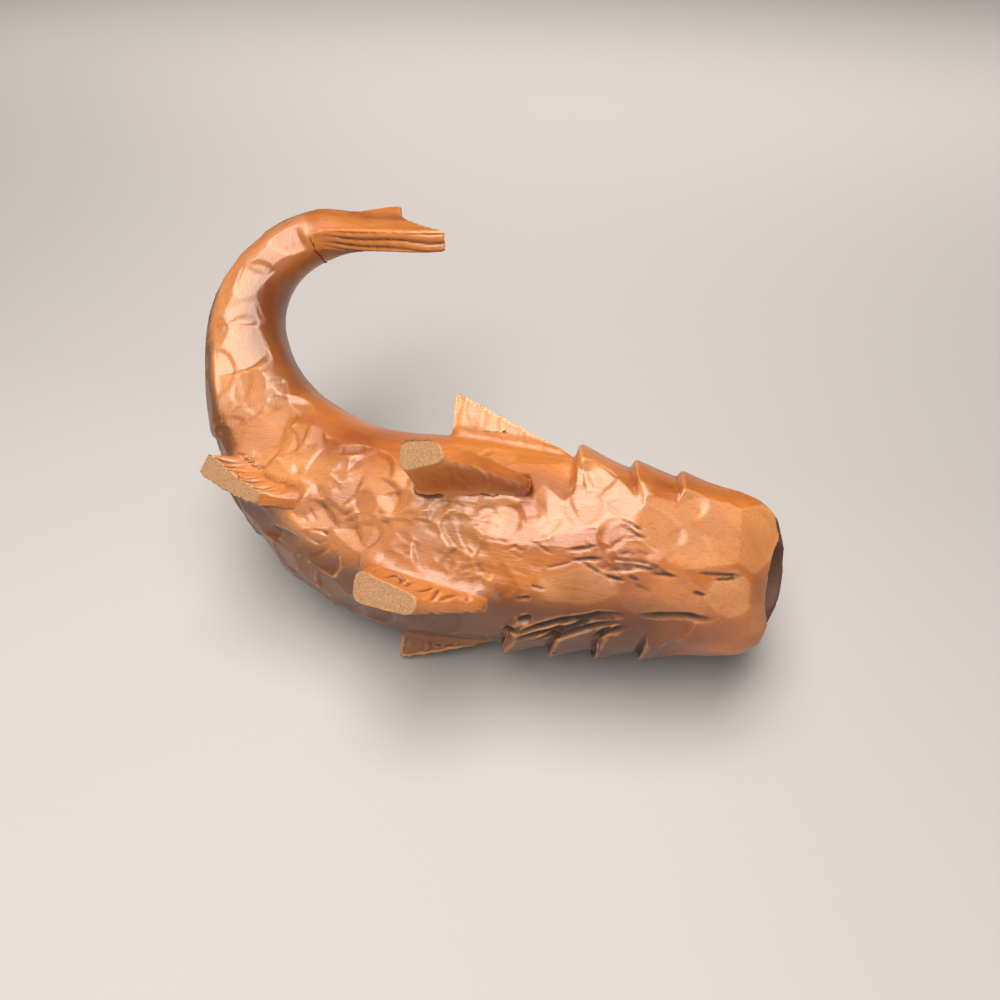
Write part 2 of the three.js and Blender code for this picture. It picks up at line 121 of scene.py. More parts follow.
def neighbours(values):
    if values.ndim == 1:
        total = np.bincount(edges[:, 0], values[edges[:, 1]], count)
        return (total + np.bincount(edges[:, 1], values[edges[:, 0]], count)) / degree
    return np.stack([neighbours(values[:, axis]) for axis in range(values.shape[1])], 1)


def normals_of(shape):
    first, second, third, fourth = (shape[corners[:, corner]] for corner in range(4))
    faces = np.cross(third - first, fourth - second)
    total = np.zeros((count, 3))
    for corner in range(4):
        for axis in range(3):
            total[:, axis] += np.bincount(corners[:, corner], faces[:, axis], count)
    return unit(total)


def relax(shape, weight, rounds):
    for _ in range(rounds):
        shape = shape + weight[:, None] * (neighbours(shape) - shape)
    return shape


# Blocks and blades in the blank: each point of its skin belongs to the solid that lies nearest. Where a fin
# and the flank are about equally near there is a glue line, and the carver blends one into the other.
MM = 1000
NEAR = 0.012
FAR_AWAY = 1.0
GLUE_BLEND = (1.0, 4.0)
distance = np.full((count, len(WOOD_NODES)), FAR_AWAY)
for column, node in enumerate(WOOD_NODES):
    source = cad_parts[node].data
    surface = BVHTree.FromPolygons([v.co for v in source.vertices], [p.vertices for p in source.polygons])
    low, high = (np.array(corner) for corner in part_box(node))
    for index in np.flatnonzero(np.all((metres > low - NEAR) & (metres < high + NEAR), axis=1)):
        distance[index, column] = surface.find_nearest(metres[index])[3]
piece_of = distance.argmin(1)
is_trunk = piece_of <= 1
fin_gap = np.abs(distance[:, :2].min(1) - distance[:, 2:].min(1)) * MM
junction = 1 - smoothstep(fin_gap, *GLUE_BLEND)

# Fish's own measure: millimetres along the spine from the lips and degrees round it, 0 on the left flank,
# 90 on the back, -90 on the belly. Every cut below is placed by these two numbers, as on the carver's blank.
LYING_ROLL = math.radians(-130)
LYING_PITCH = math.radians(-3)
LIPS_AT = np.array([100.60579, -31.42237, 40.91786])
STRAIGHT, BEND_RADIUS, BEND_ANGLE, CURL_RADIUS, CURL_ANGLE = 113, 76, 76, 34, 94
TAIL_ROOT, TAIL_RISE, TAIL_TWIST, STALK_JOINT, TAIL_END = 260, 14, 29, 180, 308
AHEAD_OF_LIPS = 10

turn_roll = np.array([[1, 0, 0], [0, math.cos(LYING_ROLL), -math.sin(LYING_ROLL)],
                      [0, math.sin(LYING_ROLL), math.cos(LYING_ROLL)]])
turn_pitch = np.array([[math.cos(LYING_PITCH), 0, math.sin(LYING_PITCH)], [0, 1, 0],
                       [-math.sin(LYING_PITCH), 0, math.cos(LYING_PITCH)]])
LYING = turn_pitch @ turn_roll
points = (metres * MM - LIPS_AT) @ LYING

spine_at = np.arange(-AHEAD_OF_LIPS, TAIL_END, 1.0)
past = spine_at - STRAIGHT
bend_length = BEND_RADIUS * math.radians(BEND_ANGLE)
curl_length = CURL_RADIUS * math.radians(CURL_ANGLE)
heading = np.clip(past, 0, bend_length) / BEND_RADIUS
heading += np.clip(past - bend_length, 0, curl_length) / CURL_RADIUS
half_way = (heading[1:] + heading[:-1]) / 2
spine = np.zeros((len(spine_at), 3))
spine[:, 0] = AHEAD_OF_LIPS - np.concatenate([[0], np.cumsum(np.cos(half_way))])
spine[:, 1] = -np.concatenate([[0], np.cumsum(np.sin(half_way))])
spine[:, 2] = TAIL_RISE * (np.maximum(past, 0) / (TAIL_ROOT - STRAIGHT)) ** 2
spine_tail = unit(np.gradient(spine, axis=0))
twist = np.radians(TAIL_TWIST) * smoothstep(spine_at, STALK_JOINT, TAIL_ROOT)
level = unit(np.array([0, 0, 1.0]) - spine_tail * spine_tail[:, 2:3])
spine_up = level * np.cos(twist)[:, None] - np.cross(spine_tail, level) * np.sin(twist)[:, None]
spine_left = np.cross(spine_tail, spine_up)

near_spine = KDTree(len(spine))
for index, place in enumerate(spine):
    near_spine.insert(place, index)
near_spine.balance()
station = np.array([near_spine.find(point)[1] for point in points])
offset = points - spine[station]
along = spine_at[station] + np.einsum("ij,ij->i", offset, spine_tail[station])
aside = np.einsum("ij,ij->i", offset, spine_left[station])
raised = np.einsum("ij,ij->i", offset, spine_up[station])
angle = np.degrees(np.arctan2(raised, aside))


def turned_from(reference):
    return np.abs((angle - reference + 180) % 360 - 180)


# Shaping with rasp and knife, before the gouge: saw marks are planed off the blocks and every glued fin is
# made to flow out of the flank, while the lips and the stepped edges of the gill plates are left crisp.
PLANING, LIGHT_PLANING, EDGES_SPARED, GILLS_SPARED = 0.5, 0.1, 0.4, 0.8
PLANING_ROUNDS = 30
GILLS_BEGIN, GILLS_END, GILLS_ASIDE, LIPS_END = (16, 24), (82, 90), (8, 16), (8, 16)
on_gills = smoothstep(along, *GILLS_BEGIN) * (1 - smoothstep(along, *GILLS_END))
on_gills *= smoothstep(np.abs(aside), *GILLS_ASIDE)
on_lips = 1 - smoothstep(along, *LIPS_END)
planing = np.where(is_trunk, PLANING - EDGES_SPARED * np.maximum(on_gills, on_lips), LIGHT_PLANING)
points = relax(points, planing, PLANING_ROUNDS)
points = relax(points, PLANING * junction * (1 - GILLS_SPARED * on_gills), PLANING_ROUNDS)

# Pelvic feet: both pelvic blades are rounded to ovals at their ends, left a little long for the sanding of
# the soles, and pared into the belly at their roots.
SOLE_PITCH = math.radians(14)
SOLE_NORMAL = np.array([-math.sin(SOLE_PITCH), 0, -math.cos(SOLE_PITCH)])
SOLE_POINT = np.array([-111, 0, -40])
PELVIC_FINS = ("pelvic_fin_left", "pelvic_fin_right")
FOOT_ROUNDED, FOOT_LENGTHENED, ROOT_PARED = (-9, -3), (-11, -1), (5, 12)
FOOT_ROUNDS, ROOT_ROUNDS = 60, 25
SANDING_SPARE = 1.5
BESIDE_BLADE = 0.009
for node in PELVIC_FINS:
    column = WOOD_NODES.index(node)
    blade = piece_of == column
    near_blade = blade | (distance[:, column] < BESIDE_BLADE)
    height = (points - SOLE_POINT) @ SOLE_NORMAL
    points = relax(points, PLANING * smoothstep(height, *FOOT_ROUNDED) * blade, FOOT_ROUNDS)
    height = (points - SOLE_POINT) @ SOLE_NORMAL
    short = SANDING_SPARE - height[blade].max()
    points += SOLE_NORMAL * (short * smoothstep(height, *FOOT_LENGTHENED) * blade)[:, None]
    points = relax(points, PLANING * (1 - smoothstep(fin_gap, *ROOT_PARED)) * near_blade, ROOT_ROUNDS)
normals = normals_of(points)

# Laying out the cuts: one search tree finds the wood near a tool, and one finds a place on the skin by the
# fish's own measure. Each cut leaves marks for the finish: the chip's tone, the stain in it, and its wear
# with a painted sheen.
CARVER_SEED = 7
MOUTH_DEPTH = 48
inside = is_trunk & (along < MOUTH_DEPTH) & (np.einsum("ij,ij->i", normals, offset) < 0)
rng = np.random.default_rng(CARVER_SEED)
vertex_tree = KDTree(count)
for index, place in enumerate(points):
    vertex_tree.insert(place, index)
vertex_tree.balance()
skin = np.flatnonzero(is_trunk & ~inside)
DEGREE_WIDE = 0.5
skin_tree = KDTree(len(skin))
for index, vertex in enumerate(skin):
    skin_tree.insert((along[vertex], angle[vertex] * DEGREE_WIDE, 0), index)
skin_tree.balance()
tone = np.full(count, 0.5)
stain_and_mouth_shade = np.zeros(count)
wear_and_sheen = np.zeros(count)


def on_skin(at, turn):
    return skin[skin_tree.find((at, turn * DEGREE_WIDE, 0))[1]]


# Trunk: head, throat and belly from one block. The knife takes long flat shavings off the throat, a gouge
# leaves short scoops on the belly, and the inner flank behind the gills is pared smooth.
DEEPEST_SHAVING, SHAVING_REACH, SHAVING_FADE, SHAVING_TONES = 3.0, 1.3, (0.75, 1), (0.45, 0.75)
SHAVING_FACES, SCOOP_FACES = 0.25, 0.4
CHIP_TILT = 0.085
HOLLOW_WOOD = -0.08
SCOOP_BOWL, SCOOP_FADE, DEEPEST_BITE, LEAST_BITE = 0.35, (0.55, 1.0), 1.8, 0.05
SCOOP_SIZES, SCOOP_DEPTHS, SCOOP_OFF_FINS, SELDOM = (0.75, 1.3), (0.5, 1.25), 5, 0.02
STROKE_STEP, TRACE_STEP, STROKE_REACH = 2.5, 0.4, 1.5
END_TAPER, BLUNT_END, END_WIDTH, TAPERED_WIDTH, STAIN_SPREAD = 3.5, 0.15, 0.55, 0.45, 1.6


# A shaving's wear value makes it paler in colour: partly rubbed wear, partly a painted sheen.
def shave(first, second, third, wear_and_sheen_share=0.0):
    marks = [points[on_skin(*mark)] for mark in (first, second, third)]
    centre = sum(marks) / 3
    normal = unit(np.cross(marks[1] - marks[0], marks[2] - marks[0]))
    outward = normals[on_skin(*first)] + normals[on_skin(*second)] + normals[on_skin(*third)]
    normal = normal * np.sign(normal @ outward)
    radius = SHAVING_REACH * max(np.linalg.norm(mark - centre) for mark in marks)
    away = np.linalg.norm(points - centre, axis=1) / radius
    reach = np.flatnonzero((away < 1) & is_trunk & ~inside & (normals @ normal > SHAVING_FACES))
    height = np.clip((points[reach] - centre) @ normal, 0, DEEPEST_SHAVING)
    height *= 1 - smoothstep(away[reach], *SHAVING_FADE)
    points[reach] -= normal * height[:, None]
    shaved = reach[height > 0]
    tone[shaved] = rng.uniform(*SHAVING_TONES)
    wear_and_sheen[shaved] = np.maximum(wear_and_sheen[shaved], wear_and_sheen_share)


def scoop(before, index, length, width, deep, swing):
    normal = unit(normals[index] + rng.normal(0, CHIP_TILT, 3))
    run = spine_tail[station[index]]
    run = unit(run - normal * (run @ normal))
    side = np.cross(normal, run)
    swung = math.radians(swing)
    across = side * math.cos(swung) - run * math.sin(swung)
    run = run * math.cos(swung) + side * math.sin(swung)
    found_near = vertex_tree.find_range(before[index], max(length, width))
    reach = np.array([found[1] for found in found_near], int)
    same_kind = (is_trunk[reach] == is_trunk[index]) & ~inside[reach]
    reach = reach[(normals[reach] @ normal > SCOOP_FACES) & same_kind]
    local = before[reach] - before[index]
    if (local @ normal).mean() > HOLLOW_WOOD:
        return
    lengthwise, crosswise = local @ run / length, local @ across / width
    floor = deep * (SCOOP_BOWL * lengthwise ** 2 + SCOOP_BOWL * crosswise ** 2 - 1)
    height = (points[reach] - before[index]) @ normal - floor
    fade = 1 - smoothstep(lengthwise ** 2 + crosswise ** 2, *SCOOP_FADE)
    height = np.clip(height, 0, DEEPEST_BITE * deep) * fade * (1 - junction[reach])
    points[reach] -= normal * height[:, None]
    scooped = reach[height > LEAST_BITE * deep]
    tone[scooped] = rng.random()


def scoops(region, spacing, length, width, deep, swing):
    taken = np.zeros(count, bool)
    before = points.copy()
    for index in rng.permutation(np.flatnonzero(region > SELDOM)):
        if taken[index]:
            continue
        taken[[found[1] for found in vertex_tree.find_range(before[index], spacing)]] = True
        taken[index] = True
        if rng.random() < region[index] and fin_gap[index] > SCOOP_OFF_FINS:
            longer, wider = length * rng.uniform(*SCOOP_SIZES), width * rng.uniform(*SCOOP_SIZES)
            scoop(before, index, longer, wider, deep * rng.uniform(*SCOOP_DEPTHS), rng.normal(0, swing))


def stroke(path, width, deep, dark, sharp=1.0):
    path = np.array(path, float)
    way = [path[:1]]
    for a, b in zip(path[:-1], path[1:]):
        way.append(np.linspace(a, b, max(2, int(abs(b - a).max() / STROKE_STEP)))[1:])
    marks = np.array([points[on_skin(*mark)] for mark in np.concatenate(way)])
    steps = []
    for a, b in zip(marks[:-1], marks[1:]):
        steps.append(np.linspace(a, b, max(2, int(np.linalg.norm(b - a) / TRACE_STEP))))
    trace = np.concatenate(steps)
    nearest = {}
    for number, place in enumerate(trace):
        for found in vertex_tree.find_range(place, width * STROKE_REACH):
            if found[1] not in nearest or nearest[found[1]][0] > found[2]:
                nearest[found[1]] = (found[2], number / (len(trace) - 1))
    for vertex, (gap, share) in nearest.items():
        taper = min(1.0, END_TAPER * share + BLUNT_END, END_TAPER * (1 - share) + BLUNT_END)
        near = 1 - gap / (width * (END_WIDTH + TAPERED_WIDTH * taper))
        if near > 0 and is_trunk[vertex]:
            points[vertex] -= normals[vertex] * deep * taper * near ** sharp
            stain_and_mouth_shade[vertex] = max(stain_and_mouth_shade[vertex], dark * taper * min(1.0, STAIN_SPREAD * near))


THROAT_SHAVINGS = [
    ((69, -130), (57, -109), (45, -127)), ((44, -126), (12, -123), (32, -97)),
    ((15, -104), (15, -150), (6, -128)), ((23, -88), (13, -92), (16, -60)),
    ((80, -121), (65, -104), (81, -109)), ((66, -82), (50, -86), (54, -70)),
]
SIDE_SHAVINGS = [
    ((47, -71), (32, -91), (24, -69)), ((80, -87), (67, -73), (63, -97)),
    ((94, -130), (73, -150), (72, -119)), ((137, -113), (117, -123), (126, -95)),
    ((127, -103), (100, -111), (110, -93)),
]
on_belly = 1 - smoothstep(turned_from(-92), 48, 70)
pared_smooth = (1 - smoothstep(turned_from(-170), 34, 52)) * smoothstep(along, 84, 100)
on_throat = (1 - smoothstep(turned_from(-98), 38, 52)) * (1 - smoothstep(along, 70, 88))
on_trunk = (piece_of == WOOD_NODES.index("body")) & ~inside
on_sides = on_trunk * (1 - pared_smooth) * (1 - on_throat) * (1 - 0.75 * on_gills)
scoops(on_sides, spacing=8.0, length=13.0, width=9.0, deep=0.55, swing=25)
normals = normals_of(points)
for shaving in SIDE_SHAVINGS:
    shave(*shaving)
# The throat shavings are made paler: rubbed wear and a painted sheen.
for shaving in THROAT_SHAVINGS:
    shave(*shaving, wear_and_sheen_share=0.5)
normals = normals_of(points)
on_gouged_belly = on_trunk * on_belly * (1 - pared_smooth) * smoothstep(along, 78, 92)
scoops(on_gouged_belly * 0.95, spacing=6.0, length=12.0, width=8.0, deep=0.8, swing=50)
normals = normals_of(points)
scoops(on_gouged_belly * 0.6, spacing=5.0, length=9.0, width=4.5, deep=0.5, swing=60)
scoops(on_trunk * on_throat * 0.6, spacing=6.5, length=10.0, width=6.0, deep=0.25, swing=30)
normals = normals_of(points)

ROUNDED_LIPS, LIP_ROUNDS = (3, 9), 14
points = relax(points, PLANING * (1 - smoothstep(along, *ROUNDED_LIPS)) * is_trunk, LIP_ROUNDS)

BELLY_GOUGES = [
    [(124, -99), (112, -95), (104, -89)], [(127, -89), (117, -86)], [(104, -99), (98, -96)],
    [(108, -109), (94, -114)], [(102, -102), (90, -105), (85, -109)], [(93, -77), (83, -84)],
    [(94, -72), (82, -81)], [(90, -72), (83, -76)], [(146, -128), (131, -138)],
]
for gouge in BELLY_GOUGES:
    stroke(gouge, width=1.9, deep=0.75, dark=0.1, sharp=0.7)
LOOSE_GOUGES, LOOSE_CUTS = 30, 60
for _ in range(LOOSE_GOUGES):
    at, turn = rng.uniform(86, 150), rng.uniform(-128, -76)
    run, drift = rng.uniform(7, 13), rng.uniform(-14, 10)
    wide, deep = rng.uniform(1.6, 2.6), rng.uniform(0.35, 0.7)
    stroke([(at, turn), (at - run, turn + drift)], wide, deep, dark=0.06, sharp=0.6)
KNIFE_CUTS = [
    [(83, -114), (79, -116)], [(61, -121), (57, -118)], [(65, -112), (61, -108)],
    [(44, -120), (41, -121), (38, -117)], [(53, -122), (44, -115), (38, -115)],
    [(52, -118), (44, -111), (38, -110)], [(63, -97), (54, -102)], [(62, -91), (56, -94), (52, -95)],
    [(52, -96), (43, -96), (38, -95)], [(50, -93), (43, -93), (36, -92)], [(52, -89), (42, -92)],
    [(52, -86), (46, -84)], [(40, -90), (32, -90)], [(28, -93), (14, -95)], [(23, -90), (15, -93)],
    [(99, -87), (91, -96), (86, -101)], [(87, -96), (75, -99)], [(84, -104), (76, -104), (69, -103)],
    [(93, -86), (89, -94)], [(93, -80), (88, -88)], [(81, -90), (76, -97)], [(80, -86), (76, -89)],
    [(69, -85), (60, -92)], [(67, -87), (64, -89)], [(121, -108), (118, -117)],
    [(119, -105), (115, -113)], [(116, -102), (114, -105)], [(109, -101), (107, -108)],
    [(107, -87), (104, -82)], [(76, -68), (71, -70)], [(69, -147), (59, -132), (56, -131)],
    [(68, -136), (59, -125)], [(59, -129), (47, -129)], [(28, -80), (24, -78)], [(74, -87), (67, -86)],
    [(72, -76), (67, -75)],
]
for cut in KNIFE_CUTS:
    stroke(cut, width=0.8, deep=0.7, dark=0.85)
for _ in range(LOOSE_CUTS):
    at, turn = rng.uniform(36, 112), rng.uniform(-118, -80)
    run, drift = rng.uniform(3, 8), rng.normal(1, 4)
    deep, dark = rng.uniform(0.35, 0.65), rng.uniform(0.35, 0.8)
    stroke([(at, turn), (at - run, turn + drift)], 0.85, deep, dark)

# Gill plates: stepped plates on both cheeks, cut from the block of the head. The knife undercuts each one
# behind its rear edge, and a vee tool scores the left ones with deep fanned grooves.
UNDERCUT_BEHIND = 1.2
GILL_FEET = {1: [(40, 7.2), (54, 13.6), (67, 14), (81, 14)], -1: [(34, 3.7), (48, 11.6), (65, 14)]}
for side, feet in GILL_FEET.items():
    for rear, sweep in feet:
        turns = [turn if side > 0 else 180 - turn for turn in range(-56, 57, 8)]
        swept = [sweep * (1 - abs(math.cos(math.radians(turn)))) for turn in turns]
        rear_edge = [(rear + UNDERCUT_BEHIND - back, turn) for back, turn in zip(swept, turns)]
        stroke(rear_edge, width=1.3, deep=0.9, dark=0.8)
GILL_GROOVES = [
    [(76, -47), (65, -55), (52, -63), (45, -64)], [(77, -42), (65, -49), (54, -59), (48, -61)],
    [(70, -39), (58, -52), (46, -59)], [(54, -42), (47, -53), (44, -56)], [(75, -55), (70, -58)],
    [(79, -43), (74, -51)], [(41, -64), (28, -63), (21, -60)],
]
for groove in GILL_GROOVES:
    stroke(groove, width=1.5, deep=1.3, dark=0.9)

# Tail stalk: the outer side is hammered with small flat scoops up to one sharp ridge, and the inside of the
# curl is pared smooth with the grain.
STALK_SHAVINGS = [
    ((255, -116), (237, -116), (243, -146)), ((233, -112), (217, -102), (226, -142)),
    ((217, -99), (201, -78), (212, -143)), ((201, -78), (185, -66), (188, -128)),
    ((184, -70), (172, -65), (171, -123)),
]
for shaving in STALK_SHAVINGS:
    shave(*shaving, wear_and_sheen_share=0.15)
normals = normals_of(points)
HAMMERED_FROM = 172
on_stalk = (along > HAMMERED_FROM) & is_trunk
on_outer_stalk = on_stalk * (1 - smoothstep(turned_from(-50), 84, 94))
scoops(on_outer_stalk * 0.95, spacing=6.0, length=9.0, width=7.5, deep=0.28, swing=40)

# Fins: thin blades of the same wood, each pinned and glued on by its root. The rays are vee grooves from
# root to tip, deepest on the anal and tail fins. A row of rays says how far apart, how deep and how dark.
FIN_OUT = {
    "pectoral_fin_left": (0, 0.866, 0.5), "pectoral_fin_right": (0, -0.866, 0.5),
    "pelvic_fin_left": (0, 0.139, -0.99), "pelvic_fin_right": (0, -0.53, -0.848),
    "anal_fin": (0, 0.242, -0.97), "spiny_dorsal_fin": (0, 0, 1), "soft_dorsal_fin": (0, 0, 1),
}
FIN_RAYS = {
    "pectoral_fin_left": (4.5, 0.35, 0.2), "pectoral_fin_right": (4.5, 0.2, 0.2),
    "pelvic_fin_left": (3.6, 0.6, 0.6), "pelvic_fin_right": (3.6, 0.2, 0.15),
    "anal_fin": (2.7, 0.7, 0.9), "spiny_dorsal_fin": (2.6, 0.5, 0.5),
    "soft_dorsal_fin": (2.1, 0.5, 0.5),
}
FIN_BACK = {
    "pectoral_fin_left": 0.2, "pectoral_fin_right": 0.2, "pelvic_fin_left": 0.24,
    "pelvic_fin_right": 0.22, "anal_fin": 1.4, "spiny_dorsal_fin": 0.5, "soft_dorsal_fin": 0.5,
}
RAY_WIDTH, FLAT_FACE, SOLE_CLEAR = 0.3, (0.3, 0.6), (0.5, 5)
RAY_WANDER, RAY_WAVE, RAY_STAGGER = 0.25, 0.35, 2.1


def vee(turns):
    return np.clip(1 - np.abs(turns % 1 - 0.5) / RAY_WIDTH, 0, 1)


normals = normals_of(points)
for node, out in FIN_OUT.items():
    column = WOOD_NODES.index(node)
    blade = np.flatnonzero(piece_of == column)
    tail = spine_tail[station[blade]].mean(0)
    back = unit(tail - np.array(out) * (tail @ np.array(out)))
    facing = unit(np.cross(out, back))
    ray = unit(np.array(out) + back * FIN_BACK[node])
    across = np.cross(facing, ray)
    spacing, deep, dark = FIN_RAYS[node]
    place = points[blade] @ across
    stagger = np.floor(place / spacing) * RAY_STAGGER
    wander = RAY_WANDER * np.sin(points[blade] @ ray * RAY_WAVE + stagger)
    on_face = smoothstep(np.abs(normals[blade] @ facing), *FLAT_FACE) * (1 - junction[blade])
    groove = vee(place / spacing + wander) * on_face
    if node in PELVIC_FINS:
        groove = groove * smoothstep((SOLE_POINT - points[blade]) @ SOLE_NORMAL, *SOLE_CLEAR)
    points[blade] -= normals[blade] * (deep * groove)[:, None]
    stain_and_mouth_shade[blade] = np.maximum(stain_and_mouth_shade[blade], dark * groove ** 2)

# Pectoral fins: two thin blades glued on behind the gill plates. The side that faces the belly is dished
# out with a broad gouge and made paler, partly as rubbed wear and partly as a painted sheen.
DISH_DEPTH, DISH_WEAR_AND_SHEEN = 0.9, 0.5
for node in ("pectoral_fin_left", "pectoral_fin_right"):
    blade = np.flatnonzero(piece_of == WOOD_NODES.index(node))
    facing = unit(np.cross(FIN_OUT[node], (-1, 0, 0)))
    facing = facing * (1 if facing[2] < 0 else -1)
    dished = smoothstep(normals[blade] @ facing, 0.5, 0.8) * smoothstep(fin_gap[blade], 1.5, 5)
    points[blade] -= normals[blade] * (DISH_DEPTH * dished)[:, None]
    wear_and_sheen[blade] = np.maximum(wear_and_sheen[blade], DISH_WEAR_AND_SHEEN * dished)

# Anal fin and right pelvic fin: the face that lies uppermost is pared towards the foot, so the blade thins
# there without losing the wood round its dowel.
PARED_UPPER_FACE = {"anal_fin": 0.24, "pelvic_fin_right": 0.2}
for node, share in PARED_UPPER_FACE.items():
    blade = np.flatnonzero(piece_of == WOOD_NODES.index(node))
    facing = unit(np.cross(FIN_OUT[node], spine_tail[station[blade]].mean(0)))
    facing = facing * np.sign((LYING @ facing)[2])
    place = points[blade] @ facing
    height = (points[blade] - SOLE_POINT) @ SOLE_NORMAL
    low = np.percentile(place[height > -SANDING_SPARE], 2)
    pared = share * np.maximum(place - low, 0) * smoothstep(height, -9, -1)
    points[blade] -= facing * pared[:, None]

# Tail fan: one broad blade, pinned and glued to the end of the stalk. A vee tool fans its rays out from the
# root on both faces.
FAN_RAYS, FAN_GROOVE, FAN_STAIN = 10, 0.5, 0.6
FAN_LENGTH, FAN_HALF_HEIGHTS = 45, [13, 27]
fan = np.flatnonzero(piece_of == WOOD_NODES.index("tail_fin"))
fanned = raised[fan] / np.interp(along[fan], [TAIL_ROOT, TAIL_ROOT + FAN_LENGTH], FAN_HALF_HEIGHTS)
on_face = smoothstep(np.abs(np.einsum("ij,ij->i", normals[fan], spine_left[station[fan]])), 0.4, 0.7)
past_root = smoothstep(along[fan], TAIL_ROOT + 2, TAIL_ROOT + 12)
groove = vee(fanned * FAN_RAYS + 0.3 * np.sin(along[fan] * 0.2)) * on_face * past_root
points[fan] -= normals[fan] * (FAN_GROOVE * groove)[:, None]
stain_and_mouth_shade[fan] = np.maximum(stain_and_mouth_shade[fan], FAN_STAIN * groove ** 2)

# Soles: both pelvic fins and the anal fin end in faces sanded flat to one plane, so that the figure stands
# on three points. The sanded faces are left bare of stain and wax.
SANDED_OFF = 0.5
height = (points - SOLE_POINT) @ SOLE_NORMAL
standing = np.isin(piece_of, [WOOD_NODES.index(node) for node in PELVIC_FINS + ("anal_fin",)])
on_foot = standing & (height > -SANDED_OFF)
points[on_foot] -= SOLE_NORMAL * height[on_foot][:, None]
bare = neighbours(on_foot.astype(float))

# Wood over the pins: the dowels are glued in before the carving, so where the knife comes close to one the
# carver leaves a thin skin of wood over it.
PIN_COVER = 0.35
PIN_NEAR = 1
for node in DOWEL_NODES:
    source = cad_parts[node].data
    pin_points = (np.array([vertex.co for vertex in source.vertices]) * MM - LIPS_AT) @ LYING
    pin = BVHTree.FromPolygons(pin_points.tolist(), [face.vertices for face in source.polygons])
    low, high = pin_points.min(0) - PIN_NEAR, pin_points.max(0) + PIN_NEAR
    close = np.all((points > low) & (points < high), axis=1)
    for index in np.flatnonzero(close):
        nearest, facing = (np.array(found) for found in pin.find_nearest(points[index])[:2])
        if (points[index] - nearest) @ facing < PIN_COVER:
            points[index] = nearest + facing * PIN_COVER

# Stain, wear and painted light on the carved wood: stain gathers in the cuts, the hollows are painted darker
# as shade and the ridges paler as wear, the shaded left flank, the inside of the curl, a valley on the
# belly, the left pectoral fin and the inside of the mouth are painted darker as shade, and the belly and the
# outer stalk are made paler by rubbing and a painted sheen. Each is kept as a mark on the mesh.
HOLLOW_SHADE_ROUNDS, WEAR_AND_SHEEN_ROUNDS, HOLLOW_SHADE_GAIN = 3, 3, 5
RUBBED_AND_SHEEN, CURL_SHADE, SIDE_SHADE, VALLEY_SHADE, FIN_SHADE, MOUTH_SHADE = 0.45, 0.65, 0.9, 0.4, 0.6, 0.85
normals = normals_of(points)
# Painted shade and wear: the skin is painted darker in its hollows as shade and paler on its ridges as wear.
hollow_shade_ridge_wear = np.einsum("ij,ij->i", neighbours(points) - points, normals)
for _ in range(HOLLOW_SHADE_ROUNDS):
    hollow_shade_ridge_wear = 0.5 * hollow_shade_ridge_wear + 0.5 * neighbours(hollow_shade_ridge_wear)
# The gouged belly and the outer stalk are made paler: rubbed wear and a painted sheen.
wear_and_sheen = np.maximum(wear_and_sheen, RUBBED_AND_SHEEN * np.maximum(on_gouged_belly, on_outer_stalk))
wear_and_sheen = relax(wear_and_sheen[:, None], np.full(count, 0.5), WEAR_AND_SHEEN_ROUNDS)[:, 0]
# Painted shade: a valley on the belly, the inside of the curl, the left flank with its gill plates and the
# left pectoral fin are darkened in colour.
in_valley = np.exp(-((along - 92) / 11) ** 2 - ((angle + 99) / 14) ** 2)
in_curl = CURL_SHADE * (1 - smoothstep(turned_from(175), 40, 75)) * smoothstep(along, 150, 190)
in_curl *= 1 - smoothstep(along, 225, 256)
in_shade = (1 - smoothstep(turned_from(-20), 42, 60)) * smoothstep(along, 16, 40)
painted_shade = np.maximum(in_curl, in_shade) * is_trunk
painted_shade = np.maximum(SIDE_SHADE * painted_shade, VALLEY_SHADE * in_valley * is_trunk)
painted_shade[piece_of == WOOD_NODES.index("pectoral_fin_left")] = FIN_SHADE
# Painted shade: the inside of the mouth is darkened together with the stain in the cuts.
stain_and_mouth_shade = np.maximum(stain_and_mouth_shade, MOUTH_SHADE * inside)
carved = (points @ LYING.T + LIPS_AT) / MM
mesh.vertices.foreach_set("co", carved.astype(np.float32).ravel())
marks = {
    "hollow_shade_ridge_wear": np.clip(0.5 + hollow_shade_ridge_wear * HOLLOW_SHADE_GAIN, 0, 1), "tone": tone, "stain_and_mouth_shade": stain_and_mouth_shade, "wear_and_sheen": wear_and_sheen,
    "bare": bare, "painted_shade": painted_shade,
}
for name, values in marks.items():
    mesh.attributes.new(name, "FLOAT", "POINT").data.foreach_set("value", values.astype(np.float32))


# Stained hardwood: fine straight grain with small pores under a red-brown stain and a rubbed satin wax. The
# eye sees burnt orange in the pared parts, paler burnished facets and near-black stain in the deepest cuts;
# the paler facets also carry a painted sheen, and the colour carries painted shade in the hollows, on the
# shaded side and inside the mouth.
def linear(code):
    parts = [int(code[start:start + 2], 16) / 255 for start in (1, 3, 5)]
    return [part / 12.92 if part <= 0.04045 else ((part + 0.055) / 1.055) ** 2.4 for part in parts] + [1.0]


def add_node(tree, kind, inputs=(), **settings):
    node = tree.nodes.new(kind)
    for key, value in settings.items():
        setattr(node, key, value)
    for key, value in dict(inputs).items():
        if isinstance(value, bpy.types.NodeSocket):
            tree.links.new(value, node.inputs[key])
        else:
            node.inputs[key].default_value = value
    return node


GRAIN = {
    "streaks": (0.011, 0.0005, 4.0), "pores": (0.0018, 0.0003, 2.0), "clouds": (0.04, 0.02, 3.0),
    "sanded": (0.0005, 0.0005, 4.0),
}
CARVED = ("tone", "wear_and_sheen", "hollow_shade_ridge_wear", "stain_and_mouth_shade", "painted_shade", "bare")
FIRST_STAIN = "#8e4819"
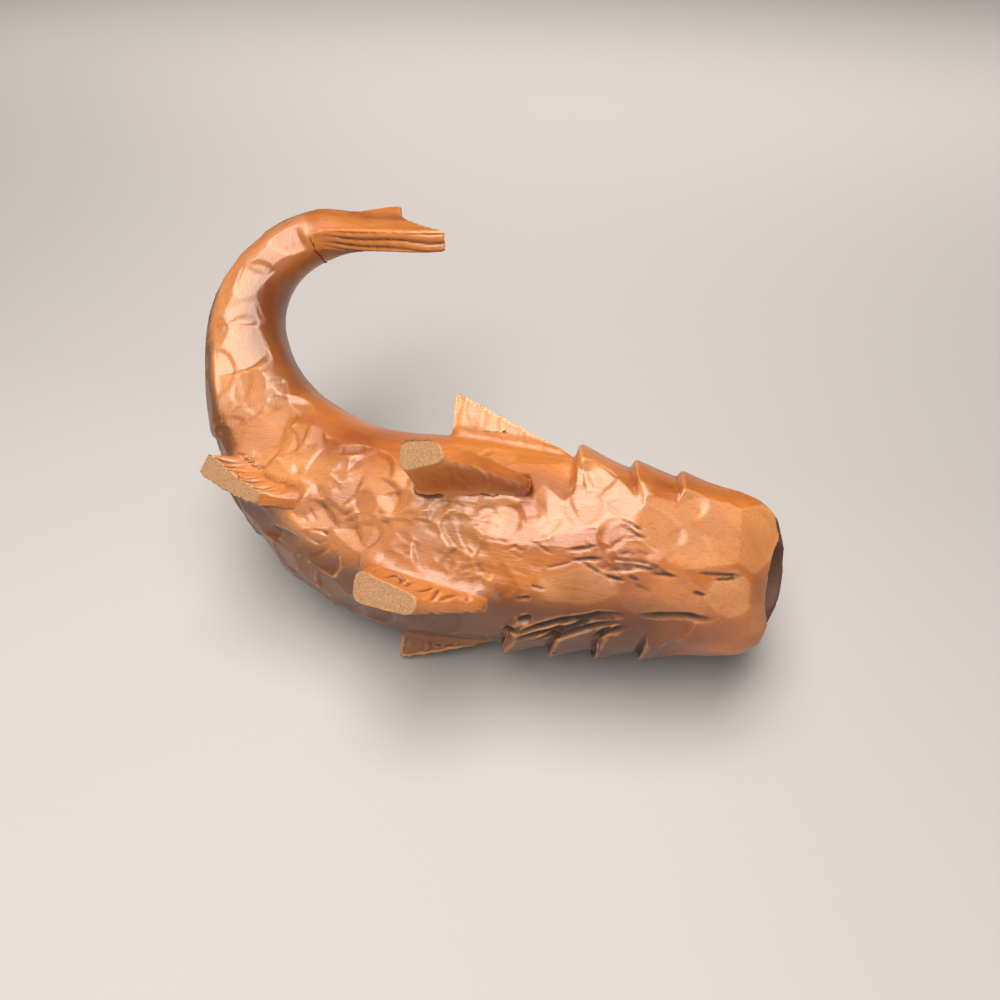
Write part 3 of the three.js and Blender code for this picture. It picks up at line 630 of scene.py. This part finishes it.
# Of these coats, the dark brown #45200b is painted shade, the two curvature coats paint shade in hollows and
# paler wear on ridges, the pale #dba97b is wear with a painted sheen, and the darkest #2c1208 is stain in
# the cuts with painted shade inside the mouth.
COATS = (
    ("clouds", 0.35, 0.65, 1.0, "#bf7431"), ("wear_and_sheen", 0.0, 1.0, 0.6, "#dba97b"),
    ("streaks", 0.5, 0.3, 0.3, "#7a3a14"), ("tone", 0.5, 0.0, 0.12, "#743510"),
    ("tone", 0.5, 1.0, 0.08, "#d59358"), ("pores", 0.58, 0.72, 0.3, "#66300c"),
    ("painted_shade", 0.0, 1.0, 0.86, "#45200b"), ("hollow_shade_ridge_wear", 0.44, 0.2, 0.6, "#e3a468"),
    ("hollow_shade_ridge_wear", 0.54, 0.8, 0.85, "#431d08"), ("stain_and_mouth_shade", 0.1, 0.9, 0.92, "#2c1208"),
)
RUBBED_WAX, RAW_WOOD = (0.33, 0.45), 0.9


def stained_hardwood(name, fibres):
    wood = bpy.data.materials.new(name)
    wood.use_nodes = True
    tree = wood.node_tree
    shader = tree.nodes["Principled BSDF"]
    turn = Vector((1, 0, 0)).rotation_difference(Vector(fibres)).to_euler()
    place = add_node(tree, "ShaderNodeTexCoord").outputs["Object"]
    seen = {}
    for layer in CARVED:
        seen[layer] = add_node(tree, "ShaderNodeAttribute", attribute_name=layer).outputs["Fac"]
    for layer, (long, wide, detail) in GRAIN.items():
        settled = {"Vector": place, "Rotation": turn, "Scale": (long, wide, wide)}
        mapped = add_node(tree, "ShaderNodeMapping", settled, vector_type="TEXTURE").outputs["Vector"]
        sized = {"Vector": mapped, "Scale": 1.0, "Detail": detail}
        seen[layer] = add_node(tree, "ShaderNodeTexNoise", sized).outputs["Fac"]

    colour = linear(FIRST_STAIN)
    for layer, low, high, most, tint in COATS:
        thinned = {0: seen[layer], 1: low, 2: high, 3: 0.0, 4: most}
        share = add_node(tree, "ShaderNodeMapRange", thinned).outputs[0]
        laid = {0: share, 6: colour, 7: linear(tint)}
        colour = add_node(tree, "ShaderNodeMix", laid, data_type="RGBA").outputs[2]
    ends = add_node(tree, "ShaderNodeMapRange", {0: seen["sanded"], 1: 0.35, 2: 0.65}).outputs[0]
    ends = {0: ends, 6: linear("#8f6a45"), 7: linear("#b08862")}
    tan = add_node(tree, "ShaderNodeMix", ends, data_type="RGBA").outputs[2]
    soled = {0: seen["bare"], 6: colour, 7: tan}
    colour = add_node(tree, "ShaderNodeMix", soled, data_type="RGBA").outputs[2]
    tree.links.new(colour, shader.inputs["Base Color"])
    waxed = {0: seen["pores"], 1: 0.4, 2: 0.7, 3: RUBBED_WAX[0], 4: RUBBED_WAX[1]}
    rubbed = add_node(tree, "ShaderNodeMapRange", waxed).outputs[0]
    dull = {0: seen["bare"], 1: seen["stain_and_mouth_shade"]}
    unrubbed = add_node(tree, "ShaderNodeMath", dull, operation="MAXIMUM").outputs[0]
    rough = add_node(tree, "ShaderNodeMix", {0: unrubbed, 2: rubbed, 3: RAW_WOOD}).outputs[0]
    tree.links.new(rough, shader.inputs["Roughness"])
    fibrous = {0: seen["streaks"], 1: seen["pores"]}
    relief = add_node(tree, "ShaderNodeMath", fibrous, operation="SUBTRACT").outputs[0]
    raised_grain = {"Height": relief, "Strength": 0.3, "Distance": 0.0002}
    bump = add_node(tree, "ShaderNodeBump", raised_grain).outputs["Normal"]
    tree.links.new(bump, shader.inputs["Normal"])
    shader.inputs["IOR"].default_value = 1.62
    shader.inputs["Coat Weight"].default_value = 0.25
    shader.inputs["Coat Roughness"].default_value = 0.4
    return wood


trunk_wood = stained_hardwood("stained_hardwood", (1, 0, 0))
stalk_wood = stained_hardwood("stained_hardwood_stalk", (-0.04, 0.64, 0.77))

# Parting at the glue lines: the carved blank comes apart into its blocks and blades again, and each face
# goes to the solid that lies nearest. Glue faces are closed just below the skin, so a piece is one shell.
PIECE_NAMES = {
    "body": "trunk", "tail_stalk": "stalk", "tail_fin": "tail_fan", "spiny_dorsal_fin": "spiny_dorsal",
    "soft_dorsal_fin": "soft_dorsal", "pectoral_fin_left": "left_pectoral",
    "pectoral_fin_right": "right_pectoral", "pelvic_fin_left": "left_pelvic",
    "pelvic_fin_right": "right_pelvic", "anal_fin": "anal_blade",
}
MOST_TRIANGLES = 190000
GLUE_FACE_DEPTH = 0.0004
face_piece = np.sort(piece_of[corners], axis=1)[:, 1].astype(np.int32)
sides = np.sort(np.stack([corners, np.roll(corners, -1, axis=1)], -1).reshape(-1, 2), axis=1)
order = np.lexsort((sides[:, 1], sides[:, 0]))
owner = np.repeat(np.arange(len(corners)), 4)[order]
shared = np.all(sides[order][1:] == sides[order][:-1], axis=1)
beside = np.stack([owner[:-1][shared], owner[1:][shared]], 1)

# A chip left on the wrong side of a seam goes to the piece round it, and a loose chip is dropped
joined = beside[face_piece[beside[:, 0]] == face_piece[beside[:, 1]]]
patch = np.arange(len(corners))
settled = False
while not settled:
    lowest = patch.copy()
    np.minimum.at(lowest, joined[:, 0], patch[joined[:, 1]])
    np.minimum.at(lowest, joined[:, 1], patch[joined[:, 0]])
    lowest = lowest[lowest]
    settled = np.array_equal(lowest, patch)
    patch = lowest
columns = range(len(WOOD_NODES))
main_patch = np.array([np.bincount(patch[face_piece == column]).argmax() for column in columns])
stray = patch != main_patch[face_piece]
both_ways = np.concatenate([beside, beside[:, ::-1]])
touching = both_ways[stray[both_ways[:, 0]] & ~stray[both_ways[:, 1]]]
while len(touching):
    face_piece[touching[:, 0]] = face_piece[touching[:, 1]]
    stray[touching[:, 0]] = False
    touching = both_ways[stray[both_ways[:, 0]] & ~stray[both_ways[:, 1]]]
face_piece[stray] = -1

for column, node in enumerate(WOOD_NODES):
    part = mesh.copy()
    part.name = PIECE_NAMES[node]
    shape = bmesh.new()
    shape.from_mesh(part)
    shape.faces.ensure_lookup_table()
    others = [face for face in shape.faces if face_piece[face.index] != column]
    bmesh.ops.delete(shape, geom=others, context="FACES")
    rim = [edge for edge in shape.edges if edge.is_boundary]
    for edge in rim:
        edge.smooth = False
    lip = bmesh.ops.extrude_edge_only(shape, edges=rim)["geom"]
    for vert in lip:
        if isinstance(vert, bmesh.types.BMVert):
            vert.co -= vert.normal * GLUE_FACE_DEPTH
    sunk_rim = [edge for edge in shape.edges if edge.is_boundary]
    bmesh.ops.holes_fill(shape, edges=sunk_rim, sides=0)
    for face in shape.faces:
        face.smooth = True
    shape.to_mesh(part)
    shape.free()
    part.materials.clear()
    part.materials.append(stalk_wood if node == "tail_stalk" else trunk_wood)
    piece = bpy.data.objects.new(PIECE_NAMES[node], part)
    bpy.context.scene.collection.objects.link(piece)
    triangles = sum(len(face.vertices) - 2 for face in part.polygons)
    if triangles > MOST_TRIANGLES:
        apply_modifier(piece, "DECIMATE", ratio=MOST_TRIANGLES / triangles)
    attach(piece, "root")
    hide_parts(node)
bpy.data.objects.remove(blank)


# Dowels: plain turned pins of pale birch, sawn to length and glued into blind holes in block and blade. They
# are out of sight, so the pins of the solids serve as they are.
def turned_wood(name, fibres, dark, pale, roughness):
    wood = bpy.data.materials.new(name)
    wood.use_nodes = True
    tree = wood.node_tree
    place = add_node(tree, "ShaderNodeTexCoord").outputs["Object"]
    fine = {"Vector": place, "Scale": fibres, "Detail": 3.0}
    figure = add_node(tree, "ShaderNodeTexNoise", fine).outputs["Fac"]
    tints = add_node(tree, "ShaderNodeValToRGB", {"Fac": figure})
    tints.color_ramp.elements[0].color = linear(dark)
    tints.color_ramp.elements[1].color = linear(pale)
    shader = tree.nodes["Principled BSDF"]
    tree.links.new(tints.outputs["Color"], shader.inputs["Base Color"])
    shader.inputs["Roughness"].default_value = roughness
    return wood


birch = turned_wood("birch_dowel", 900.0, "#b98f5c", "#d8b384", 0.7)
for node in DOWEL_NODES:
    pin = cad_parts[node].data
    pin.materials.clear()
    pin.materials.append(birch)

# Eyes: small turned beads of a near-black wood, polished to a shine and glued into sockets that are drilled
# in the cheeks.
bead_wood = turned_wood("polished_dark_wood", 700.0, "#170c07", "#33190c", 0.18)
for node in EYE_NODES:
    bead = merged_copy(node, node + "_bead")
    apply_modifier(bead, "SUBSURF", levels=2, render_levels=2)
    bpy.ops.object.shade_smooth()
    bead.data.materials.clear()
    bead.data.materials.append(bead_wood)
    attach(bead, "root")
    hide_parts(node)

# Studio: a sheet of pale matt paper for a floor, a broad soft light overhead, a weak fill from the front and
# a wash on the paper behind. The room behind the paper is pale to the eye but adds little light.
FLOOR_SIZE = 3.4
ROOM_LIGHT, ROOM_SEEN = 0.06, 0.75
bpy.ops.mesh.primitive_plane_add(size=FLOOR_SIZE)
floor = bpy.context.active_object
floor.name = "floor"
pale_floor = bpy.data.materials.new("pale_paper")
pale_floor.use_nodes = True
paper = pale_floor.node_tree.nodes["Principled BSDF"]
paper.inputs["Base Color"].default_value = linear("#acadaf")
paper.inputs["Roughness"].default_value = 0.8
floor.data.materials.append(pale_floor)

SOFT_LIGHTS = [
    ("overhead", (-0.06, -0.24, 0.8), (-0.08, -0.24, 0.0), (1.2, 0.5), 16.5),
    ("front_fill", (0.7, -0.9, 0.3), (0.0, 0.0, 0.04), (0.7, 0.4), 2.0),
    ("floor_wash", (0.0, 0.6, 0.7), (0.0, 1.4, 0.1), (2.4, 0.5), 18.0),
]
for name, spot, aim, (wide, tall), power in SOFT_LIGHTS:
    lamp = bpy.data.lights.new(name, "AREA")
    lamp.shape = "RECTANGLE"
    lamp.size = wide
    lamp.size_y = tall
    lamp.energy = power
    lamp.color = linear("#fff4e8")[:3]
    holder = bpy.data.objects.new(name, lamp)
    holder.location = spot
    holder.rotation_euler = (Vector(aim) - Vector(spot)).to_track_quat("-Z", "Y").to_euler()
    bpy.context.scene.collection.objects.link(holder)
world = bpy.data.worlds.new("soft_room")
world.use_nodes = True
tree = world.node_tree
direct = add_node(tree, "ShaderNodeLightPath").outputs["Is Camera Ray"]
level = add_node(tree, "ShaderNodeMapRange", {0: direct, 3: ROOM_LIGHT, 4: ROOM_SEEN}).outputs[0]
tree.nodes["Background"].inputs["Color"].default_value = linear("#d6d4d1")
tree.links.new(level, tree.nodes["Background"].inputs["Strength"])
bpy.context.scene.world = world

bpy.context.scene.view_settings.view_transform = "Standard"

# Camera: near and above the belly, where the photograph was taken from, with the wide lens of a phone. Its
# place and turn were fitted to the outline of the figure.
lens = bpy.data.cameras.new("camera")
lens.sensor_width = 36
lens.lens = 27.04
lens.clip_start = 0.01
camera = bpy.data.objects.new("camera", lens)
camera.location = (0.05213, -0.1934, 0.20983)
camera.rotation_euler = (math.radians(47), 0, math.radians(13.5))
bpy.context.scene.collection.objects.link(camera)
bpy.context.scene.camera = camera
